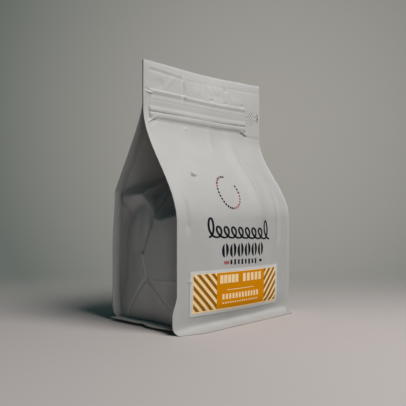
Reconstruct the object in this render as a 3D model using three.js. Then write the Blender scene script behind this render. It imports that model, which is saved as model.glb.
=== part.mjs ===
// A shut, filled coffee bag: a flat-bottomed pouch of white laminate with sealed fins down its four
// corners, gussets folded into its sides, a flat header with a press zip, and a paper label.
// Millimetres. +X runs along the front panel, the front faces -Y, and +Z is up from the base.
import * as THREE from 'three';

// ---- driving dimensions -------------------------------------------------------------------------

const BAG_HEIGHT = 204.5;
const PANEL_HALF_WIDTH = 69;          // front and back panels, fins included
const FIN_WIDTH = 9;                  // sealed fin at each corner
const FIN_THICKNESS = 0.9;
const HEADER_THICKNESS = 1.5;         // the panels pressed together above the filling
const HEADER_FIN_THICKNESS = 0.58;

// Where the panels leave the header, where they reach the full belly, and their depths there
const FRONT_LEFT = { leaves: 168, full: 80, header: -0.6, belly: -38.2 };
const FRONT_RIGHT = { leaves: 154, full: 82, header: -2.6, belly: -36.2 };
const BACK_BELLY = 38.3;
const BACK_LEAVES = 172;
const BACK_SHOULDER = 104;            // the back edge bends here, level with the tuck of the gusset
const BACK_SHOULDER_DEPTH = 35.3;
const BACK_SOFTNESS = 0.12;           // how round the back edge leaves the header
const BACK_FULL = 58;
const BACK_PARTS_QUICKLY = 4;         // the back leaves the front's bow this fast as it swells

const FRONT_SWELL = 5.5;              // the filling pushes the panels out between their fins
const BACK_SWELL = 5;
const SWELL_TOP = 158;
const SWELL_FULL = 106;
const SWELL_LOW = 19;
const SWELL_INSET = 3;                // the swell starts this far inside the edges
const HEADER_BOW = 5.5;               // the loose top edge bows back between its ends
const HEADER_BOW_CURVE = 1.4;
const HEADER_BOW_FROM = 176;
const BOW_CENTRE = 5;
const BOW_HALF_WIDTH = 76;

const SKIRT_DEPTH = 49.5;             // the bottom seal flares out to here, front and back
const SKIRT_HEIGHT = 10;
const SKIRT_CURVE = 3;
const SKIRT_FULL_TO = 50;             // full this far out, fading from here to the eared corner
const SKIRT_ROUND_TO = 55;            // and to the rounded one
const CORNER_RADIUS = 12;             // round corners of the flat panels, at the floor
const EAR_REACH = 4.5;                // two opposite corners flare sideways as well
const EAR_FROM = 28;
const EAR_FULL = 13;
const EAR_FLOOR_REACH = 2.4;
const EAR_FLOOR_DEPTH = 43.8;
const EAR_TUCKED_FROM = 8;

const LEDGE_REACH = 71;               // the side seals of the base, a little clear of the floor
const LEDGE_LEFT = [-41, 38.8];        // where each ledge starts and ends along the depth
const LEDGE_RIGHT = [-30, 41];
const LEDGE_UNDERSIDE = 1.5;
const LEDGE_THICKNESS = 0.8;
const LEDGE_STEP = 0.35;
const FOOT_INSET = 1.5;               // the base inside the ledge, which stands on the floor
const BASE_FAN = [4, 15, 0];

const GUSSET_HALF_WIDTH = 42.5;       // one half of the folded side, from corner to centre crease
const SIDE_HALF_DEPTH = 38;           // from the middle of the side to a corner of the belly
const HEADER_FOLD_DEPTH = 12;
const FOLD_CLOSES_FROM = 142;
const FOLD_CLOSED = 158;
const FRONT_FOLD_ROUNDNESS = 0.9;
const BACK_FOLD_ROUNDNESS = 0.25;

// The lower part of the side bulges, most of all a little behind its middle
const BULGE = 7;
const BULGE_MIDDLE = 4;
const BULGE_FALLS_BEHIND = 1.6;
const BULGE_FALLS_AHEAD = 6;
const BULGE_FOOT = -14;
const BULGE_FULL = 22;
const BULGE_FADES_FROM = 70;
const BULGE_GONE = 122;
const VALLEY = { depth: 4.5, behind: 34, halfWidth: 7, from: 8, full: 50, fades: 84, gone: 98 };

// The tuck: above a lip that runs from the peak to the back fin the side folds in
const PEAK = { behind: 6, height: 101.7 };
const LIP = { heightAtFin: 99.5, reach: 3.6, halfHeight: 7, fadesWithin: 4 };
const TUCK_SLOPE_AT_FIN = 0.3;
const TUCK_SLOPE_GAIN = 1.75;
const TUCK_SLOPE = 1.25;

// The pocket in front of the peak: a ridge, given by height and how far behind the middle it stands, a
// steep flank before it, and the line above which the bulge turns in, by distance behind the middle
const RIDGE_LINE = [[54.5, 3.5], [64, 0.5], [72, -3], [80, -5.5], [85, -5], [93, 0], [101.5, 6], [118, 10]];
const FLANK_SLOPE = [[54.5, 0.3], [80, 0.6], [85, 1.2], [93, 1.9], [104, 2], [118, 2.6]];
const ROLL_LINE = [[-38, 87], [-27, 84], [-14, 80.5], [-5, 82], [2, 86], [8, 95]];
const ROLL_DEPTH = [13, 26];          // at the middle of the side, and beside the front fin
const ROLL_HEIGHT = [14, 9];
const ROLL_SHARPNESS = 1.6;
const ROLL_FADES_WITHIN = 6;
const POCKET_FROM = 86;
const POCKET_CURL = 0.02;
const CREASE_SOFTNESS = 2;
const FOLD_SOFTNESS = 6;              // where the side passes into the V, and less so at the fins
const FOLD_FADES_AT_FINS = 4;
const FOLD_FADES_LEAST = 0.02;

// The pressed-in triangle at the foot of each side: apex, and the foot of each leg
const TRIANGLE = { apex: [-0.8, 36.7], back: [24, 9.5], front: [-30, 13.5], tilt: 0.16 };

const ZIP_LOW = 160;                  // the press zip raises a band across the header
const ZIP_HIGH = 168.5;
const ZIP_RELIEF = 1.3;
const ZIP_GROOVE = 164.3;
const ZIP_GROOVE_DEPTH = 0.7;
const ZIP_GROOVE_HALF_HEIGHT = 0.6;
const ZIP_EDGE = 1;
const WELT_HEIGHT = 180.5;            // the upper welt
const WELT_RELIEF = 0.7;
const WELT_HALF_HEIGHT = 1.6;
const ZIP_LEFT = -64;
const ZIP_RIGHT = 49;
const RELIEF_TAPER = 2.5;

const LABEL = {
  left: -57.8, right: 47.2, low: 10.2, high: 43.4, tilt: -1,
  thickness: 0.4, gap: 0.35, columns: 22, rows: 9,
};

const FRONT_COLUMNS = 26;
const BACK_COLUMNS = 13;

// Places across a folded side, from -1 at its front corner to 1 at its back corner
const GUSSET_PLACES = [
  -1, -0.93, -0.8, -0.62, -0.45, -0.3, -0.2, -0.12, -0.06, 0, 0.06, 0.12, 0.18, 0.28, 0.42, 0.62,
  0.8, 0.91, 1,
];

// Heights of the outlines that the bag is lofted through
const LEVELS = [
  0, LEDGE_UNDERSIDE - LEDGE_STEP, LEDGE_UNDERSIDE, LEDGE_UNDERSIDE + LEDGE_THICKNESS,
  LEDGE_UNDERSIDE + LEDGE_THICKNESS + LEDGE_STEP, 4.5, 7, 10, 13, 17, 22, 27, 32, 38, 45, 52, 60, 68, 75,
  81, 86, 91, 95, 98, 100.5, 103, 105.5, 108, 111, 115, 120, 125, 130, 135, 140, 145, 150, 154, 157,
  ZIP_LOW - ZIP_EDGE, ZIP_LOW, 162.5, ZIP_GROOVE - ZIP_GROOVE_HALF_HEIGHT, ZIP_GROOVE,
  ZIP_GROOVE + ZIP_GROOVE_HALF_HEIGHT, 166.8, ZIP_HIGH, ZIP_HIGH + ZIP_EDGE, 173,
  WELT_HEIGHT - WELT_HALF_HEIGHT, WELT_HEIGHT, WELT_HEIGHT + WELT_HALF_HEIGHT, 188, 194, 199.5, BAG_HEIGHT,
];

// ---- small measures -------------------------------------------------------------------------------

const { lerp, clamp, degToRad } = THREE.MathUtils;
const between = (value, from, to) => clamp((value - from) / (to - from), 0, 1);
const bell = (distance, halfWidth) => Math.exp(-((distance / halfWidth) ** 2));

function ease(value, from, to) {
  const t = between(value, from, to);
  return t * t * (3 - 2 * t);
}

// The lesser of two depths, rounded where the surfaces meet
function softLeast(a, b, softness) {
  const near = clamp(0.5 + (b - a) / (2 * softness), 0, 1);
  return lerp(b, a, near) - softness * near * (1 - near);
}

// The height of a line given by its corner points
function alongLine(line, at) {
  const next = line.findIndex(([from]) => from > at);
  if (next === 0) return line[0][1];
  if (next < 0) return line.at(-1)[1];
  const [[fromAt, from], [toAt, to]] = [line[next - 1], line[next]];
  return lerp(from, to, (at - fromAt) / (toAt - fromAt));
}

// ---- front and back panels ------------------------------------------------------------------------

// How far a panel's edge lies from the middle: the eared corners flare, the other two are rounded
function edgeReach(z, eared) {
  if (!eared) {
    const drop = Math.max(CORNER_RADIUS - z, 0);
    return PANEL_HALF_WIDTH - CORNER_RADIUS + Math.sqrt(CORNER_RADIUS ** 2 - drop ** 2);
  }
  const flare = EAR_REACH * ease(-z, -EAR_FROM, -EAR_FULL);
  const roundedOff = (EAR_REACH - EAR_FLOOR_REACH) * between(-z, -EAR_TUCKED_FROM, 0) ** 2;
  return PANEL_HALF_WIDTH + flare - roundedOff;
}

function shoulder(z, edge) {
  return lerp(edge.header, edge.belly, ease(-z, -edge.leaves, -edge.full));
}

// The bottom seal curves out to the floor, fully along its middle and less at the corners
function skirt(x, z, earedSide) {
  const rise = between(-z, -SKIRT_HEIGHT, 0) ** SKIRT_CURVE;
  const towardsEar = x * earedSide;
  const nearEar = ease(-towardsEar, -PANEL_HALF_WIDTH - 2, -SKIRT_FULL_TO);
  const nearRounding = ease(towardsEar, -PANEL_HALF_WIDTH + 1, -SKIRT_ROUND_TO);
  return { rise, middle: nearEar * nearRounding };
}

function swell(x, z, amount) {
  const across = 1 - (x / (PANEL_HALF_WIDTH - SWELL_INSET)) ** 2;
  const upwards = ease(-z, -SWELL_TOP, -SWELL_FULL) * ease(z, 0, SWELL_LOW);
  return amount * Math.max(across, 0) * upwards;
}

function headerBow(x, z) {
  const across = Math.cos(0.5 * Math.PI * clamp((x - BOW_CENTRE) / BOW_HALF_WIDTH, -1, 1)) ** 2;
  return HEADER_BOW * across * between(z, HEADER_BOW_FROM, BAG_HEIGHT) ** HEADER_BOW_CURVE;
}

// Zip band and welt stand out of both faces of the header, and fade at their ends
function headerRelief(x, z) {
  const ends = ease(x, ZIP_LEFT - RELIEF_TAPER, ZIP_LEFT) * ease(-x, -ZIP_RIGHT - RELIEF_TAPER, -ZIP_RIGHT);
  const band = ZIP_RELIEF * ease(z, ZIP_LOW - ZIP_EDGE, ZIP_LOW) * ease(-z, -ZIP_HIGH - ZIP_EDGE, -ZIP_HIGH);
  const groove = ZIP_GROOVE_DEPTH * Math.max(1 - Math.abs(z - ZIP_GROOVE) / ZIP_GROOVE_HALF_HEIGHT, 0);
  const welt = WELT_RELIEF * Math.max(1 - Math.abs(z - WELT_HEIGHT) / WELT_HALF_HEIGHT, 0);
  return ends * (band - groove + welt);
}

function frontY(x, z) {
  const across = between(x, -PANEL_HALF_WIDTH, PANEL_HALF_WIDTH);
  const edge = lerp(shoulder(z, FRONT_LEFT), shoulder(z, FRONT_RIGHT), across);
  const panel = edge - swell(x, z, FRONT_SWELL) + headerBow(x, z) - headerRelief(x, z);
  const { rise, middle } = skirt(x, z, -1);
  const floor = lerp(x < 0 ? -EAR_FLOOR_DEPTH : panel, -SKIRT_DEPTH, middle);
  return lerp(panel, floor, rise);
}

function backEdge(z) {
  const softened = (t) => Math.hypot(t, BACK_SOFTNESS) - BACK_SOFTNESS;
  if (z > BACK_SHOULDER) {
    const t = between(-z, -BACK_LEAVES, -BACK_SHOULDER);
    return BACK_SHOULDER_DEPTH * softened(t) / softened(1);
  }
  return lerp(BACK_SHOULDER_DEPTH, BACK_BELLY, ease(-z, -BACK_SHOULDER, -BACK_FULL));
}

function backY(x, z) {
  const headerFace = frontY(x, BAG_HEIGHT) - headerBow(x, BAG_HEIGHT) + headerBow(x, z) + HEADER_THICKNESS;
  const out = backEdge(z);
  const parted = Math.min(BACK_PARTS_QUICKLY * out / BACK_BELLY, 1);
  const panel = lerp(headerFace, 0, parted) + out + swell(x, z, BACK_SWELL);
  const { rise, middle } = skirt(x, z, 1);
  const floor = lerp(x > 0 ? EAR_FLOOR_DEPTH : panel, SKIRT_DEPTH, middle);
  return lerp(panel, floor, rise) + headerRelief(x, z) * (1 - parted);
}

// ---- gussets --------------------------------------------------------------------------------------

// Depth of the folded side where it lies in a V. s is 0 at its centre crease and 1 either way at the fins
function vFold(s, z, span) {
  const out = Math.abs(s);
  const roundness = s < 0 ? FRONT_FOLD_ROUNDNESS : BACK_FOLD_ROUNDNESS;
  const folded = Math.sqrt(Math.max(GUSSET_HALF_WIDTH ** 2 - (span / 2) ** 2, 0));
  const depth = lerp(folded, HEADER_FOLD_DEPTH, ease(z, FOLD_CLOSES_FROM, FOLD_CLOSED));
  return depth * (1 - out) * (1 + roundness * out);
}

// Depth of the full lower part. It stands out, so it is below zero; y is measured from the middle
function bulge(y, z) {
  const behind = between(y, BULGE_MIDDLE, SIDE_HALF_DEPTH) ** BULGE_FALLS_BEHIND;
  const ahead = between(-y, -BULGE_MIDDLE, SIDE_HALF_DEPTH) ** BULGE_FALLS_AHEAD;
  const upwards = ease(z, BULGE_FOOT, BULGE_FULL) * ease(-z, -BULGE_GONE, -BULGE_FADES_FROM);
  const valleyUpwards = ease(z, VALLEY.from, VALLEY.full) * ease(-z, -VALLEY.gone, -VALLEY.fades);
  const valley = VALLEY.depth * bell(y - VALLEY.behind, VALLEY.halfWidth) * valleyUpwards;
  return valley - BULGE * (1 - behind - ahead) * upwards;
}

function triangle(y, z) {
  const { apex, back, front, tilt } = TRIANGLE;
  const backLeg = lerp(apex[1], back[1], (y - apex[0]) / (back[0] - apex[0]));
  const frontLeg = lerp(apex[1], front[1], (y - apex[0]) / (front[0] - apex[0]));
  return tilt * Math.max(Math.min(backLeg, frontLeg) - z, 0);
}

// How far the folded side lies inside its corners' line
function gussetDepth(s, z, span) {
  const y = SIDE_HALF_DEPTH * s;
  const lower = bulge(y, z) + triangle(y, z);

  const lipHeight = lerp(PEAK.height, LIP.heightAtFin, between(y, PEAK.behind, SIDE_HALF_DEPTH));
  const lipAcross = ease(y, 0, PEAK.behind) * ease(-y, -SIDE_HALF_DEPTH, LIP.fadesWithin - SIDE_HALF_DEPTH);
  const lip = LIP.reach * bell(z - lipHeight, LIP.halfHeight) * lipAcross;
  const tuckSlope = Math.min(TUCK_SLOPE_AT_FIN + TUCK_SLOPE_GAIN * (1 - Math.abs(s)), TUCK_SLOPE);
  const tuck = lower - lip + tuckSlope * Math.max(z - lipHeight, 0);

  const ridge = alongLine(RIDGE_LINE, z);
  const flank = bulge(ridge, z) + alongLine(FLANK_SLOPE, z) * (ridge - y);
  const aboveRoll = Math.max(z - alongLine(ROLL_LINE, y), 0);
  const forward = between(-y, 0, SIDE_HALF_DEPTH - ROLL_FADES_WITHIN);
  const turnedIn = 1 - Math.exp(-((aboveRoll / lerp(...ROLL_HEIGHT, forward)) ** ROLL_SHARPNESS));
  const curl = POCKET_CURL * Math.max(z - POCKET_FROM, 0) ** 2;
  const pocket = lerp(...ROLL_DEPTH, forward) * turnedIn + curl;
  const front = lower + pocket * ease(y, -SIDE_HALF_DEPTH, ROLL_FADES_WITHIN - SIDE_HALF_DEPTH);
  const hanging = -softLeast(-tuck, -softLeast(flank, front, CREASE_SOFTNESS), CREASE_SOFTNESS);
  const roundWithin = clamp(FOLD_FADES_AT_FINS * (1 - Math.abs(s)), FOLD_FADES_LEAST, 1);
  return softLeast(vFold(s, z, span), hanging, FOLD_SOFTNESS * roundWithin);
}

// ---- outline at one height --------------------------------------------------------------------------

function finThickness(z) {
  return lerp(FIN_THICKNESS, HEADER_FIN_THICKNESS, ease(z, FOLD_CLOSES_FROM, FOLD_CLOSED));
}

function panelLine(face, fromX, toX, z, columns) {
  return Array.from({ length: columns + 1 }, (_, i) => {
    const x = lerp(fromX, toX, i / columns);
    return [x, face(x, z)];
  });
}

// One side, from its front fin to its back fin. side is 1 on the right and -1 on the left. In the
// header the folded film lies between the two panels and bows with them
function sideLine(side, z) {
  const onLedge = z > LEDGE_UNDERSIDE - 0.01 && z < LEDGE_UNDERSIDE + LEDGE_THICKNESS + 0.01;
  const frontReach = edgeReach(z, side < 0);
  const backReach = edgeReach(z, side > 0);
  const thick = finThickness(z);
  const root = PANEL_HALF_WIDTH - FIN_WIDTH;
  const frontTip = frontY(side * frontReach, z) + thick;
  const backTip = backY(side * backReach, z) - thick;
  const frontRoot = frontY(side * root, z) + thick;
  const backRoot = backY(side * root, z) - thick;
  const span = backRoot - frontRoot;
  const pressed = ease(z, FOLD_CLOSES_FROM, FOLD_CLOSED);
  const line = [[side * frontReach, frontTip]];
  for (const s of GUSSET_PLACES) {
    if (onLedge) {
      const [start, end] = side < 0 ? LEDGE_LEFT : LEDGE_RIGHT;
      line.push([side * LEDGE_REACH, lerp(start, end, (s + 1) / 2)]);
    } else {
      const foot = z < LEDGE_UNDERSIDE ? FOOT_INSET * (1 - s * s) : gussetDepth(s, z, span);
      const x = side * (root - foot);
      const front = lerp(frontRoot, frontY(x, z) + thick, pressed);
      const back = lerp(backRoot, backY(x, z) - thick, pressed);
      line.push([x, lerp(front, back, (s + 1) / 2)]);
    }
  }
  line.push([side * backReach, backTip]);
  return line;
}

function outline(z) {
  const front = panelLine(frontY, -edgeReach(z, true), edgeReach(z, false), z, FRONT_COLUMNS);
  const back = panelLine(backY, edgeReach(z, true), -edgeReach(z, false), z, BACK_COLUMNS);
  return [...front, ...sideLine(1, z), ...back, ...sideLine(-1, z).reverse()];
}

// ---- meshes -----------------------------------------------------------------------------------------

function closedGeometry(points, triangles) {
  const geometry = new THREE.BufferGeometry();
  geometry.setAttribute('position', new THREE.Float32BufferAttribute(points.flat(), 3));
  geometry.setIndex(triangles.flat());
  geometry.computeVertexNormals();
  return geometry;
}

// Walls between the outlines, a flat base fanned out from one point of it, and the edge of the header
function bagGeometry() {
  const rings = LEVELS.map((z) => outline(z).map(([x, y]) => [x, y, z]));
  const count = rings[0].length;
  const triangles = [];
  for (let level = 0; level + 1 < rings.length; level += 1) {
    for (let i = 0; i < count; i += 1) {
      const next = (i + 1) % count;
      const a = level * count + i;
      const b = level * count + next;
      triangles.push([a, b, b + count], [a, b + count, a + count]);
    }
  }
  const points = rings.flat();
  const base = points.push(BASE_FAN) - 1;
  for (let i = 0; i < count; i += 1) triangles.push([base, (i + 1) % count, i]);
  const top = (rings.length - 1) * count;
  const edge = rings.at(-1).map(([x, y]) => new THREE.Vector2(x, y));
  for (const [a, b, c] of THREE.ShapeUtils.triangulateShape(edge, [])) {
    triangles.push([top + a, top + b, top + c]);
  }
  return closedGeometry(points, triangles);
}

// A thin slab that follows the front panel, tilted a little as it was stuck on
function labelGeometry() {
  const { columns, rows } = LABEL;
  const width = LABEL.right - LABEL.left;
  const height = LABEL.high - LABEL.low;
  const turn = degToRad(LABEL.tilt);
  const points = [];
  for (const offset of [LABEL.gap, LABEL.gap + LABEL.thickness]) {
    for (let row = 0; row <= rows; row += 1) {
      for (let column = 0; column <= columns; column += 1) {
        const u = (column / columns - 0.5) * width;
        const v = (row / rows - 0.5) * height;
        const x = (LABEL.left + LABEL.right) / 2 + u * Math.cos(turn) - v * Math.sin(turn);
        const z = (LABEL.low + LABEL.high) / 2 + u * Math.sin(turn) + v * Math.cos(turn);
        points.push([x, frontY(x, z) - offset, z]);
      }
    }
  }
  const sheet = (rows + 1) * (columns + 1);
  const at = (row, column) => row * (columns + 1) + column;
  const triangles = [];
  for (let row = 0; row < rows; row += 1) {
    for (let column = 0; column < columns; column += 1) {
      const a = at(row, column);
      const b = at(row, column + 1);
      const c = at(row + 1, column + 1);
      const d = at(row + 1, column);
      triangles.push([a, c, b], [a, d, c]);
      triangles.push([a + sheet, b + sheet, c + sheet], [a + sheet, c + sheet, d + sheet]);
    }
  }
  const rim = [];
  for (let column = 0; column < columns; column += 1) rim.push(at(0, column));
  for (let row = 0; row < rows; row += 1) rim.push(at(row, columns));
  for (let column = columns; column > 0; column -= 1) rim.push(at(rows, column));
  for (let row = rows; row > 0; row -= 1) rim.push(at(row, 0));
  rim.forEach((a, i) => {
    const b = rim[(i + 1) % rim.length];
    triangles.push([a, b, b + sheet], [a, b + sheet, a + sheet]);
  });
  return closedGeometry(points, triangles);
}

function piece(name, geometry, color, roughness) {
  const mesh = new THREE.Mesh(geometry, new THREE.MeshStandardMaterial({ color, roughness, metalness: 0 }));
  mesh.name = name;
  return mesh;
}

const coffeeBag = new THREE.Group();
coffeeBag.add(piece('bag', bagGeometry(), 0xd9d7d0, 0.5));
coffeeBag.add(piece('label', labelGeometry(), 0xc9762a, 0.6));

export default coffeeBag;
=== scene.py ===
# A shut, filled coffee bag: a flat-bottomed pouch of matt white laminate with sealed fins down its
# four corners, folded sides, a flat header with a press zip, plain print and an orange paper label.
# Lengths are in millimetres until a mesh is made; the scene itself is in metres.
import math

import bmesh
import bpy
import numpy as np
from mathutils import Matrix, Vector


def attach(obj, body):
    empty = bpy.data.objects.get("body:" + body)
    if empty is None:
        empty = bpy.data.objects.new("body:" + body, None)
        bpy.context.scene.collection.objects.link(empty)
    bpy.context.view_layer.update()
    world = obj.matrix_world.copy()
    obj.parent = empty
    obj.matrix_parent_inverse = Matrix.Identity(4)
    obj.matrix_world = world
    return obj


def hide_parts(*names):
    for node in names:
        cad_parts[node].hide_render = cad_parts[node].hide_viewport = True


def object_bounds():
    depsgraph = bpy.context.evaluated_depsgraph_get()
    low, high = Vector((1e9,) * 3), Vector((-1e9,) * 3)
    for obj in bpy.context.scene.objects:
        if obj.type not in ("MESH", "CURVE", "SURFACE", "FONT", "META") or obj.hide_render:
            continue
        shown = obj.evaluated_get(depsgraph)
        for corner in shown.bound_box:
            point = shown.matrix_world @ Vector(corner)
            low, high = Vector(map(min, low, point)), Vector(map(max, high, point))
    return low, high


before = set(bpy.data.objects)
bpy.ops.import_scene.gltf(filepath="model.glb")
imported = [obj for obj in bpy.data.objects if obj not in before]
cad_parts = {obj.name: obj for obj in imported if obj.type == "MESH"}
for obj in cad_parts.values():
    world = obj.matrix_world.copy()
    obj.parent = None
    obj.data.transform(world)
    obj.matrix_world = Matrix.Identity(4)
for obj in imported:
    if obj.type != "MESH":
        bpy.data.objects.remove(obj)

cad_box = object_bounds()
scene = bpy.context.scene
MM = 0.001

# ---- camera -----------------------------------------------------------------------------------------
# The camera stands a little below half the bag's height, off its front-left corner, and looks level
# past the corner fin, so the dark folded side and the lit front both show.

CAMERA_PLACE = (-340.6, -327.9, 91.95)
CAMERA_FACES = (0.7169, 0.6972)
CAMERA_PITCH = 0.34                    # degrees upwards
FOCAL_LENGTH = 49.27
SENSOR_WIDTH = 36

camera_data = bpy.data.cameras.new("camera")
camera_data.lens = FOCAL_LENGTH
camera_data.sensor_width = SENSOR_WIDTH
camera_data.clip_start = 0.01
camera = bpy.data.objects.new("camera", camera_data)
camera.location = Vector(CAMERA_PLACE) * MM
looks = Vector((*CAMERA_FACES, math.tan(math.radians(CAMERA_PITCH))))
camera.rotation_euler = looks.to_track_quat("-Z", "Y").to_euler()
scene.collection.objects.link(camera)
scene.camera = camera

# ---- front panel ------------------------------------------------------------------------------------
# One web of matt white laminate, 0.25 mm thick, heat-sealed to the folded sides along its two edges.
# The filling swells it below; above, the shoulder closes to the flat header, where the press zip and
# its upper welt stand out through the film. Its foot flares out as the bottom seal.

_, _, BAG_HEIGHT = (size / MM for size in cad_box[1])
PANEL_HALF_WIDTH = 69
FIN_WIDTH = 9
FILM = 0.25
FIN = 2 * FILM                         # panel and side film welded together
FRONT_LEFT = {"leaves": 168, "full": 80, "header": -0.6, "belly": -38.2}
FRONT_RIGHT = {"leaves": 154, "full": 82, "header": -2.6, "belly": -36.2}
FRONT_SWELL = 5.5
SWELL_TOP = 158
SWELL_FULL = 106
SWELL_LOW = 19
SWELL_INSET = 3
HEADER_BOW = 5.5
HEADER_BOW_FROM = 176
HEADER_BOW_CURVE = 1.4
BOW_CENTRE = 5
BOW_HALF_WIDTH = 76
SKIRT_DEPTH = 49.5
SKIRT_HEIGHT = 10
SKIRT_CURVE = 7                        # the foot turns out only close to the floor
SKIRT_FULL_TO = 50
SKIRT_ROUND_TO = 55
CORNER_RADIUS = 12
EAR_REACH = 4.5
EAR_FROM = 28
EAR_FULL = 13
EAR_TUCKED_FROM = 8
EAR_FLOOR_REACH = 2.4
EAR_FLOOR_DEPTH = 43.8

# Height of the film over the zip, from under its lower rib up to the welt at the top of its tape
ZIP_PROFILE = [
    (155.6, 0.0), (157.6, -0.1), (159.2, 0.3), (160.6, 1.1), (161.8, 1.45), (163.4, 1.45), (164.0, 0.75),
    (164.5, 0.75), (165.1, 1.35), (166.6, 1.5), (167.8, 1.1), (169.4, 0.65), (173.0, 0.6), (173.8, 0.45),
    (174.6, 0.55), (177.6, 0.2), (179.6, 0.75), (180.6, 0.95), (181.2, 0.5), (182.2, 0.0),
]
ZIP_SAG = [(-62, 0.7), (-27, 0.3), (15, -0.65), (48, -0.35)]
ZIP_LEFT = -63.2
ZIP_RIGHT = 48.4
ZIP_END = 1.1
ZIP_GROOVE = (-6, 164.25)              # here the two ribs press together
ZIP_GROOVE_REACH = (30, 0.7)
ZIP_GROOVE_FILLED = 0.5
WELT_FOOT, WELT_TOP = 175, 179
WELT_BREAK = -24.6                     # the welt steps down where the vertical crease meets it
WELT_BREAK_WIDTH = 3
WELT_STEP = 0.7


def between(value, start, end):
    return np.clip((value - start) / (end - start), 0, 1)


def ease(value, start, end):
    t = between(value, start, end)
    return t * t * (3 - 2 * t)


def within(value, start, full, fades, gone):
    """Rises from 0 at start to 1 at full, and falls back from fades to gone."""
    return ease(value, start, full) * ease(-value, -gone, -fades)


def lerp(a, b, t):
    return a + (b - a) * t


def bell(distance, half_width):
    return np.exp(-(distance / half_width) ** 2)


def edge_reach(z, eared):
    """How far a panel's edge lies from the middle: two corners flare, the other two are rounded."""
    if not eared:
        drop = np.maximum(CORNER_RADIUS - z, 0)
        return PANEL_HALF_WIDTH - CORNER_RADIUS + np.sqrt(CORNER_RADIUS ** 2 - drop ** 2)
    flare = EAR_REACH * ease(-z, -EAR_FROM, -EAR_FULL)
    rounded_off = (EAR_REACH - EAR_FLOOR_REACH) * between(-z, -EAR_TUCKED_FROM, 0) ** 2
    return PANEL_HALF_WIDTH + flare - rounded_off


def shoulder(z, edge):
    return lerp(edge["header"], edge["belly"], ease(-z, -edge["leaves"], -edge["full"]))


def skirt(x, z, eared_side):
    """How far the foot has risen to the floor line, and how fully at this place along it."""
    rise = between(-z, -SKIRT_HEIGHT, 0) ** SKIRT_CURVE
    middle = within(
        x * eared_side, -PANEL_HALF_WIDTH + 1, -SKIRT_ROUND_TO, SKIRT_FULL_TO, PANEL_HALF_WIDTH + 2)
    return rise, middle


def swell(x, z, amount):
    across = np.maximum(1 - (x / (PANEL_HALF_WIDTH - SWELL_INSET)) ** 2, 0)
    return amount * across * within(z, 0, SWELL_LOW, SWELL_FULL, SWELL_TOP)


def header_bow(x, z):
    across = np.cos(0.5 * np.pi * np.clip((x - BOW_CENTRE) / BOW_HALF_WIDTH, -1, 1)) ** 2
    return HEADER_BOW * across * between(z, HEADER_BOW_FROM, BAG_HEIGHT) ** HEADER_BOW_CURVE


def zip_relief(x, z):
    sag = np.interp(x, *zip(*ZIP_SAG))
    past_break = ease(x, WELT_BREAK - WELT_BREAK_WIDTH / 2, WELT_BREAK + WELT_BREAK_WIDTH / 2)
    step = WELT_STEP * between(z, WELT_FOOT, WELT_TOP) * (0.5 - past_break)
    ends = within(x, ZIP_LEFT - ZIP_END, ZIP_LEFT, ZIP_RIGHT, ZIP_RIGHT + ZIP_END)
    shape = np.interp(z - sag - step, *zip(*ZIP_PROFILE), left=0, right=0)
    along, up = ZIP_GROOVE_REACH
    closed = bell(x - ZIP_GROOVE[0], along) * bell(z - sag - ZIP_GROOVE[1], up)
    return ends * (shape + ZIP_GROOVE_FILLED * closed)


def front_form(x, z):
    """The front face without zip or creases."""
    across = between(x, -PANEL_HALF_WIDTH, PANEL_HALF_WIDTH)
    edge = lerp(shoulder(z, FRONT_LEFT), shoulder(z, FRONT_RIGHT), across)
    panel = edge - swell(x, z, FRONT_SWELL) + header_bow(x, z)
    rise, middle = skirt(x, z, -1)
    floor_line = lerp(np.where(x < 0, -EAR_FLOOR_DEPTH, panel), -SKIRT_DEPTH, middle)
    return lerp(panel, floor_line, rise)


# Creases and soft folds: from, to, half width, height (outwards is positive)
FRONT_CREASES = [
    ((-62, 197.6), (-27, 195.8), 1.0, -0.32),       # lower line of the top seal
    ((-21, 195.6), (66, 197.0), 1.0, -0.22),
    ((-60, 200.0), (-30, 198.4), 1.2, 0.25),
    ((-25.2, 196.5), (-26.0, 180.5), 1.0, 0.95),    # upright crease in the header
    ((-28.4, 195.0), (-28.8, 182.0), 1.4, -0.85),
    ((-38.0, 194.0), (-43.5, 188.5), 1.8, 0.30),
    ((-50.0, 193.0), (-47.0, 187.0), 2.0, 0.30),
    ((-66.8, 182.2), (-62.5, 181.2), 0.6, -0.70),   # nick at the left end of the welt
    ((-66.0, 180.2), (-61.5, 179.4), 0.6, 0.60),
    ((-63.4, 176.0), (-63.8, 159.0), 0.7, -0.60),   # the tape ends here
    ((49.6, 178.0), (49.8, 160.0), 0.8, -0.35),
    ((-63.4, 155.6), (-60.0, 157.6), 0.9, -1.30),   # puckers below the ends of the zip
    ((-63.4, 158.0), (-59.6, 160.4), 0.8, 0.90),
    ((44.5, 157.2), (49.0, 155.4), 0.8, -1.10),
    ((43.0, 158.8), (48.5, 157.0), 0.8, 0.80),
    ((50.0, 155.0), (68.0, 154.2), 0.9, -0.45),
    ((0.0, 153.0), (-2.0, 138.0), 3.0, 0.55),      # soft upright folds below the zip
    ((22.0, 134.0), (21.0, 88.0), 7.5, 2.00),
    ((40.0, 124.0), (39.0, 98.0), 5.0, -0.40),
    ((27.0, 130.0), (26.0, 106.0), 2.0, -0.75),
    ((50.5, 98.0), (49.5, 66.0), 3.2, -0.90),       # where the swell ends beside the right fin
    ((-59.5, 92.0), (-59.0, 78.0), 2.4, -1.50),     # dents beside the left fin
    ((-63.0, 35.0), (-62.5, 14.0), 2.6, -1.10),
    ((-70.0, 37.6), (-57.0, 37.0), 0.7, 0.55),      # short level crease beside the label
]

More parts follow.
